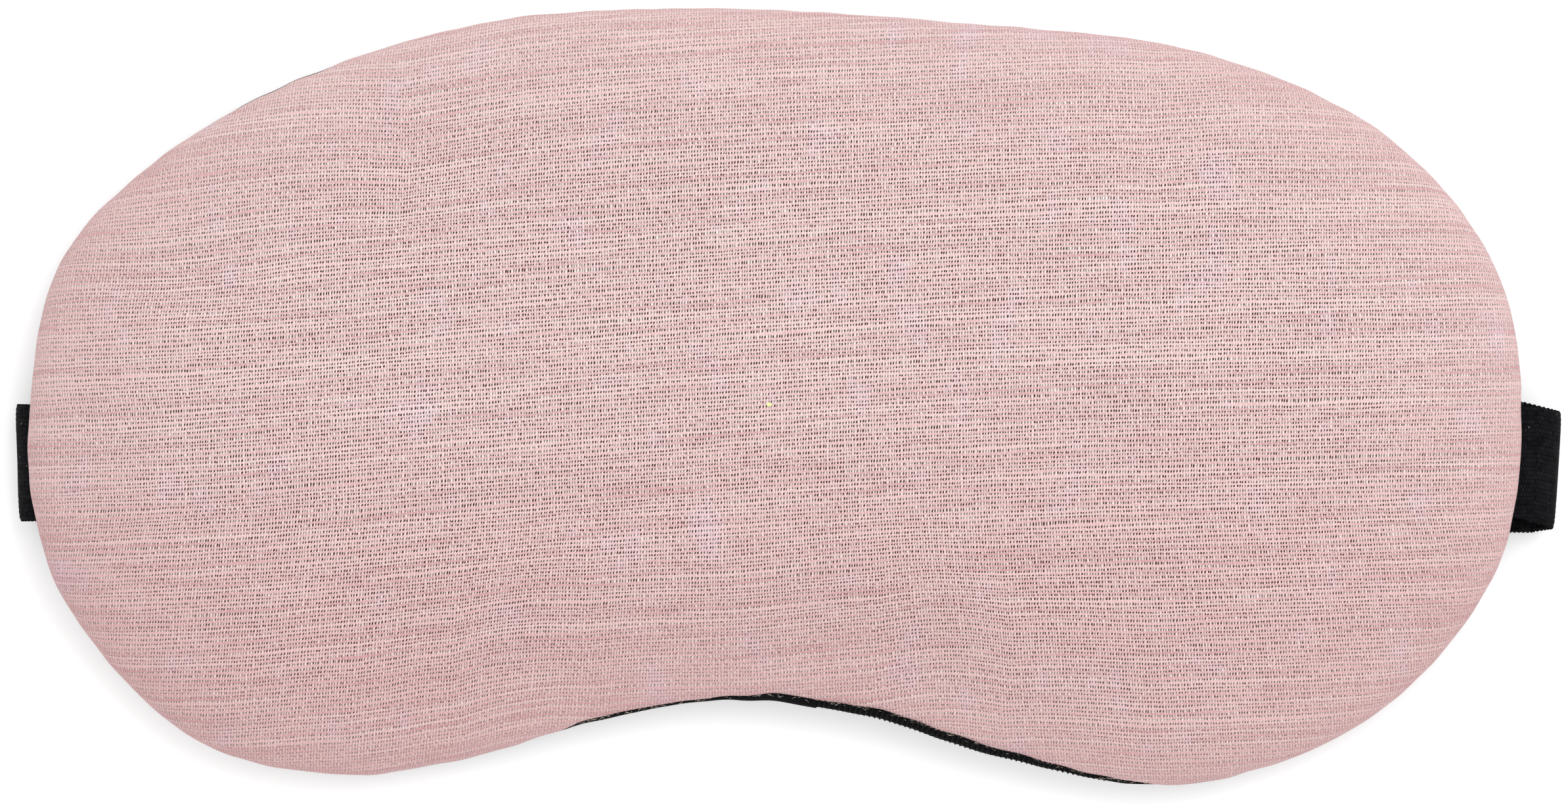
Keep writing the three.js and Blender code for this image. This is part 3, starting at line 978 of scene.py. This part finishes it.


# %% [markdown]
# ## Pink slub cloth
# The front is a light cotton-linen weave. Its wefts are fat, soft and pink and lie almost
# touching, so they read as cords across the face. Its warps are thin and nearly white, and show
# only as bright specks between wefts, each beside a pinhole. A weft is thicker, paler or pinker
# for a few millimetres at a time, which closes or opens the holes.
# Painted shade darkens the pinholes, the rounded rim and the lower left of the face.

# %% Front cloth
WARP_PITCH, WEFT_PITCH = 0.385, 0.597
ROW_SHADES = (0.70, 0.465, 0.458), (0.785, 0.567, 0.553)
PINKER_ROW, PALER_ROW = (0.58, 0.30, 0.315), (0.90, 0.77, 0.735)
WARP_SHADES = (0.89, 0.75, 0.72), (0.97, 0.89, 0.85)
WARP_OVER_WEFT = (0.90, 0.78, 0.75)
YARN_SHADES = (0.35, 0.33, 0.33), (1.6, 1.6, 1.6)
MAUVE_PATCH = (0.82, 0.70, 0.83)
# Painted shade: the next two lines hold the shade of the rounded rim, of the lower left of the
# face and of the inside of the pinholes.
PAINTED_SHADE_AT_RIM, PAINTED_SHADE_LOW_DOWN = (0.83, 0.79, 0.80), (0.94, 0.865, 0.875)
PAINTED_SHADE_IN_HOLES = (0.085, 0.027, 0.025)
FLECK_AT, FLECK_SIZE, FLECK_COLOUR = (-0.9, -9.6), (0.34, 0.27), (0.83, 0.86, 0.38)


def pinholes(shop, weave, openness_and_rim_shade):
    """Shares of the groove between wefts and of a pinhole, and the pinhole's depth, which sets how
    dark its painted shade is.
    """
    x, y = weave.x, weave.y
    slub = shop.noise(x * 0.08, weave.row * 3.7, 3.0, 3.0, 0.6)
    region = shop.noise(x * 0.05, y * 0.07, 6.0, 2.0, 0.5)
    half_weft = 0.19 + slub * 0.09 + region * 0.05 + (1.0 - openness_and_rim_shade) * 0.11
    groove = (weave.from_weft - half_weft).limit(-0.05, 0.06)
    chance = shop.random(weave.gap_column, weave.gap_row, 8.0)
    shift = (shop.random(weave.gap_row, weave.gap_column, 17.0) - 0.5) * 0.3
    from_hole = (weave.u - weave.gap_column - 0.5 - shift).math("ABSOLUTE")
    pinhole = groove * (0.24 + chance * 0.06 - from_hole).limit(-0.07, 0.07)
    depth = (chance * 0.5 + 0.64).math("MINIMUM", 1.0) * (openness_and_rim_shade * 0.6 + 0.4)
    return groove, pinhole, depth


def pink_cloth():
    """Rows, slubs and warps, then the yarn's shades, slow changes, painted shade, pinholes and a
    fleck.
    """
    shop = Shop("pink_slub_weave")
    weave = Weave(shop, WARP_PITCH, WEFT_PITCH, drift=0.95, waver=0.35)
    x, y, row = weave.x, weave.y, weave.row
    openness_and_rim_shade = shop.node("ShaderNodeAttribute", {"attribute_name": "openness_and_rim_shade"}, None, 2)
    groove, pinhole, depth = pinholes(shop, weave, openness_and_rim_shade)

    pinker = shop.noise(x * 0.05, row * 1.9, 5.0, 4.0, 0.6)
    paler = shop.noise(x * 0.08, row * 2.3, 11.0, 4.0, 0.6)
    weft = shop.blend(shop.random(row, 0.0, 2.0), *ROW_SHADES)
    weft = shop.blend(pinker.limit(0.44, 0.7) * 0.7, weft, PINKER_ROW)
    weft = shop.blend(paler.limit(0.45, 0.85) * 0.25, weft, PALER_ROW)

    crossing = ((weave.column + row) * PI).math("COSINE").limit(0.0, 1.0)
    over = crossing * (0.26 - weave.from_warp).limit(-0.06, 0.06) * 0.22
    weft = shop.blend(over, weft, WARP_OVER_WEFT)
    bright = shop.noise(x * 0.09, weave.gap_row * 2.9, 15.0, 4.0, 0.6)
    colour = shop.blend(groove, weft, shop.blend(bright.limit(0.4, 0.75), *WARP_SHADES))

    lay = ((weave.u + (weave.v - row) * 0.9) * (2 * PI)).math("COSINE")
    twist = shop.noise(x * 4.5 + y * 3.0, y * 5.0, 1.0, 2.0, 0.7) + lay * 0.07
    colour = shop.blend(0.78, colour, shop.blend(twist, *YARN_SHADES), "MULTIPLY")
    mauve = shop.noise(x * 0.14, y * 0.09, 21.0, 3.0, 0.6)
    colour = shop.blend(mauve.limit(0.52, 0.8) * 0.3, colour, MAUVE_PATCH)
    # Painted shade: the rounded rim, where the face turns down from the light, is darkened.
    colour = shop.blend(1.0 - openness_and_rim_shade, colour, PAINTED_SHADE_AT_RIM, "MULTIPLY")
    # Painted shade: the face darkens towards the bottom and the left, where it turns from the
    # light.
    painted_shade_leftwards = x.limit(0.0, -60.0) * 0.25 + 0.75
    painted_shade_low_left = y.limit(-5.0, -40.0) * painted_shade_leftwards + x.limit(-68.0, -98.0) * 0.35
    colour = shop.blend(painted_shade_low_left.math("MINIMUM", 1.0), colour, PAINTED_SHADE_LOW_DOWN, "MULTIPLY")
    # Painted shade: each pinhole is filled with the dark shade inside the hole.
    colour = shop.blend(pinhole * depth * bright.limit(1.05, 0.6), colour, PAINTED_SHADE_IN_HOLES)

    fleck_x, fleck_y = ((v - at) / size for v, at, size in zip((x, y), FLECK_AT, FLECK_SIZE))
    fleck = (fleck_x * fleck_x + fleck_y * fleck_y).limit(1.2, 0.8)
    colour = shop.blend(fleck, colour, FLECK_COLOUR)

    cord = ridge(weave.from_weft, 0.5) - pinhole * 0.5 + over
    shop.set(Base_Color=colour, Roughness=0.95, Specular_IOR_Level=0.05)
    shop.set(Sheen_Weight=0.03, Sheen_Roughness=0.5)
    shop.set(Normal=shop.bump(cord + twist * 0.15, 0.00012, 0.7))
    return shop.material


# %% [markdown]
# ## Black cloth, elastic, thread and wadding
# The back is the same kind of weave in black. Elastic is tighter: rubber cores run along it,
# covered by fine yarn, and each weft makes a row of small beads across it. Thread, fibres and
# wadding need only a fine grain.
# Painted shade darkens the low places between the threads of the black cloth and between the beads
# of the elastic.

# %% Other finishes
BLACK = (0.006, 0.006, 0.0065)
# Painted shade: the darkest black also fills the low places between threads and between beads.
DARK_YARN_AND_SHADE = (0.003, 0.003, 0.0035)
LINT = (0.14, 0.14, 0.135)
ELASTIC_SHADES = DARK_YARN_AND_SHADE, (0.015, 0.015, 0.018)
BEAD_LENGTH = 0.58
BLACK_PITCHES = 0.42, 0.52


def black_cloth():
    shop = Shop("black_plain_weave")
    weave = Weave(shop, *BLACK_PITCHES, drift=0.4, waver=0.2)
    odd = ((weave.column + weave.row) * PI).math("COSINE")
    weft = ridge(weave.from_weft, 0.48) * 0.8 - odd * 0.15
    warp = ridge(weave.from_warp, 0.48) * 0.8 + odd * 0.15
    height = weft.math("MAXIMUM", warp)
    shade = shop.noise(weave.x * 0.1, weave.row * 2.3, 0.0, 3.0)
    thread = shop.blend(shade.limit(0.3, 0.8), BLACK, (0.011, 0.011, 0.012))
    # Painted shade: the low places between threads are darkened.
    colour = shop.blend(height.limit(0.4, 0.0), thread, DARK_YARN_AND_SHADE)
    shop.set(Base_Color=colour, Roughness=0.9, Specular_IOR_Level=0.04)
    shop.set(Normal=shop.bump(height, 0.00012, 0.8))
    return shop.material


def black_elastic(name, stretches):
    """Rows of beads with painted shade between them, and specks of lint.

    On a layer that stretches they lie on the object, so that they keep their size.
    """
    shop = Shop(name)
    if stretches:
        x, y = (part / MM for part in shop.parts(shop.on_object())[:2])
    else:
        x, y = shop.on_cloth()
    u, v = x / (scallop_pitch * 0.75), y / BEAD_LENGTH
    row = v.math("ROUND")
    across = u + row.math("MODULO", 2.0).math("ABSOLUTE") * 0.5
    column = across.math("ROUND")
    bead = ridge((across - column).math("ABSOLUTE"), 0.5) * ridge((v - row).math("ABSOLUTE"), 0.5)
    shade = shop.noise(x * 0.5, y * 1.4, 0.0, 3.0).limit(0.3, 0.8) * 0.5
    yarn = shop.random(column, row, 4.0) * 0.5
    base = shop.blend(shade + yarn, *ELASTIC_SHADES)
    # Painted shade: the gaps between beads are darkened.
    colour = shop.blend(bead.limit(0.6, 0.1), base, DARK_YARN_AND_SHADE)
    speck_place = shop.join(x * 0.75, y * 0.75, 3.0)
    speck = shop.node("ShaderNodeTexVoronoi", None, {"Vector": speck_place, "Scale": 1.0})
    rare = shop.noise(x * 0.4, y * 0.4, 9.0, 1.0).limit(0.54, 0.56)
    colour = shop.blend((0.09 - speck).limit(-0.02, 0.02) * rare, colour, LINT)
    shop.set(Base_Color=colour, Roughness=0.8, Specular_IOR_Level=0.05)
    shop.set(Normal=shop.bump(bead, 0.00016, 0.9))
    return shop.material


def object_noise_finish(name, dark, light, scale, roughness, distance):
    """A finish from noise on object coordinates, for the pieces that have no cloth map."""
    shop = Shop(name)
    grain = shop.noise_at(shop.on_object(), scale, 5.0, 0.65)
    shop.set(Base_Color=shop.blend(grain.limit(0.3, 0.7), dark, light), Roughness=roughness)
    shop.set(Specular_IOR_Level=0.1, Normal=shop.bump(grain, distance, 0.7))
    return shop.material


pink = pink_cloth()
black = black_cloth()
elastic_black = black_elastic("black_elastic", False)
elastic_front = black_elastic("black_elastic_front", True)
thread_black = object_noise_finish(
    "black_thread", (0.005, 0.005, 0.006), (0.012, 0.012, 0.013), 4000.0, 0.8, 0.00005)
ravelled = object_noise_finish(
    "ravelled_fibre", (0.62, 0.53, 0.43), (0.85, 0.78, 0.68), 3000.0, 0.9, 0.00002)
wadding_white = object_noise_finish(
    "wadding", (0.72, 0.70, 0.66), (0.9, 0.89, 0.86), 900.0, 1.0, 0.0006)

# %% [markdown]
# ## Putting the pieces on their bodies
# Each piece hides the solid of the frame it stands for and takes its finish. The covers, fillings,
# stitches, fibres and the strap's slack go on the pillow's body. The four other strap pieces only
# have their places applied to their points; their table of two bodies and two ends is not used.

# %% Bodies and finishes
def dress(piece, material, nodes):
    piece.data.materials.append(material)
    if nodes:
        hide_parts(*nodes)


def polygon_area(points):
    """Area of a closed flat outline, half the sum of the cross products of its sides."""
    x, y = points[:, 0], points[:, 1]
    return 0.5 * abs(np.sum(x * np.roll(y, -1) - y * np.roll(x, -1)))


def cut_size(flat):
    """Size and area of a cover's flat cloth: the seam line pushed out by its allowance."""
    seam_line = flat[rows_in + rows_rim - 1] - inward * allowance
    spread_out = seam_line.max(axis=0) - seam_line.min(axis=0)
    return spread_out * MM, polygon_area(seam_line) * MM * MM


for name, material, slot, node, filling in (
    ("front_cover", pink, "linen", "front_panel", "front_filling"),
    ("back_cover", black, "black_cloth", "back_panel", "back_filling"),
):
    piece, flat_cloth = covers[name]
    dress(piece, material, [node])
    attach(piece, "pillow")
    size, area = cut_size(flat_cloth)
    print(f"{name}: cut {size[0] / MM:.0f} by {size[1] / MM:.0f} mm, {area * 1e4:.0f} square cm")

for name, node in (("front_filling", "front_wadding"), ("back_filling", "back_wadding")):
    dress(fillings[name], wadding_white, [node])
    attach(fillings[name], "pillow")

dress(closing_stitches, thread_black, ["gap_closing_thread"])
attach(closing_stitches, "pillow")
raw_edge.data.materials.append(ravelled)
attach(raw_edge, "pillow")

stands_for = {
    "left_strap_front": ["left_strap_tail"],
    "left_strap_band": ["left_strap_loop", "left_strap_run"],
    "strap_slack": ["strap_slack_fold"],
    "right_strap_band": ["right_strap_loop", "right_strap_run"],
    "right_strap_front": ["right_strap_tail"],
}
slack_end = slack_half - 4
left_held, right_held = 14, 34
moves = {
    "left_strap_front": ("pillow", "left_strap", left_loop[0, 0], left_fold),
    "left_strap_band": ("left_strap", "pillow", left_fold + left_held, slack_end),
    "right_strap_band": ("right_strap", "pillow", right_fold - right_held, -slack_end),
    "right_strap_front": ("pillow", "right_strap", right_loop[0, 0], right_fold),
}
for name, piece in strap_pieces.items():
    finish = elastic_front if name.endswith("front") else elastic_black
    dress(piece, finish, stands_for[name])
    if name in moves:
        first, second, x0, x1 = moves[name]
        x0 * MM
        x1 * MM
        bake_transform(piece)
    else:
        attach(piece, "pillow")

for name in ("seam_needle_thread", "seam_bobbin_thread"):
    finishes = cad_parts[name].data.materials
    finishes.clear()
    finishes.append(thread_black)

# %% [markdown]
# ## Table, light and camera
# The pillow lies on a plain white table that glows faintly, under a broad soft light, so its
# shadows are short and pale. The camera looks straight down through a long lens.

# %% Stage
white_table = Shop("white_table")
white_table.set(Base_Color=(0.9, 0.9, 0.9, 1.0), Roughness=0.9, Specular_IOR_Level=0.0)
white_table.set(Emission_Color=(1.0, 1.0, 1.0, 1.0), Emission_Strength=0.3)
floor_drop = 0.0002
bpy.ops.mesh.primitive_plane_add(size=6.0, location=(0, 0, -floor_drop))
floor = bpy.context.object
floor.name = "table"
floor.data.materials.append(white_table.material)

world = bpy.data.worlds.new("studio")
world.use_nodes = True
sky = world.node_tree.nodes["Background"].inputs
sky["Color"].default_value = (1.0, 1.0, 1.0, 1.0)
sky["Strength"].default_value = 0.96
bpy.context.scene.world = world


def soft_light(name, place, aim, size, power):
    data = bpy.data.lights.new(name, "AREA")
    data.size = size
    data.energy = power
    light = bpy.data.objects.new(name, data)
    light.location = place
    light.rotation_euler = (Vector(aim) - Vector(place)).to_track_quat("-Z", "Y").to_euler()
    bpy.context.scene.collection.objects.link(light)


soft_light("key", place=(0.45, 0.5, 1.0), aim=(0, 0, 0), size=0.9, power=5.2)

view_width = 213.1 * MM
view_centre = (-0.5 * MM, -0.85 * MM)
distance = 1.6
sensor_width = 36.0
camera_data = bpy.data.cameras.new("camera")
camera_data.sensor_width = sensor_width
camera_data.lens = sensor_width * (distance - edge_height * MM) / view_width
camera_data.clip_end = 20.0
camera = bpy.data.objects.new("camera", camera_data)
camera.location = (*view_centre, distance)
bpy.context.scene.collection.objects.link(camera)
bpy.context.scene.camera = camera
bpy.context.scene.view_settings.view_transform = "Standard"
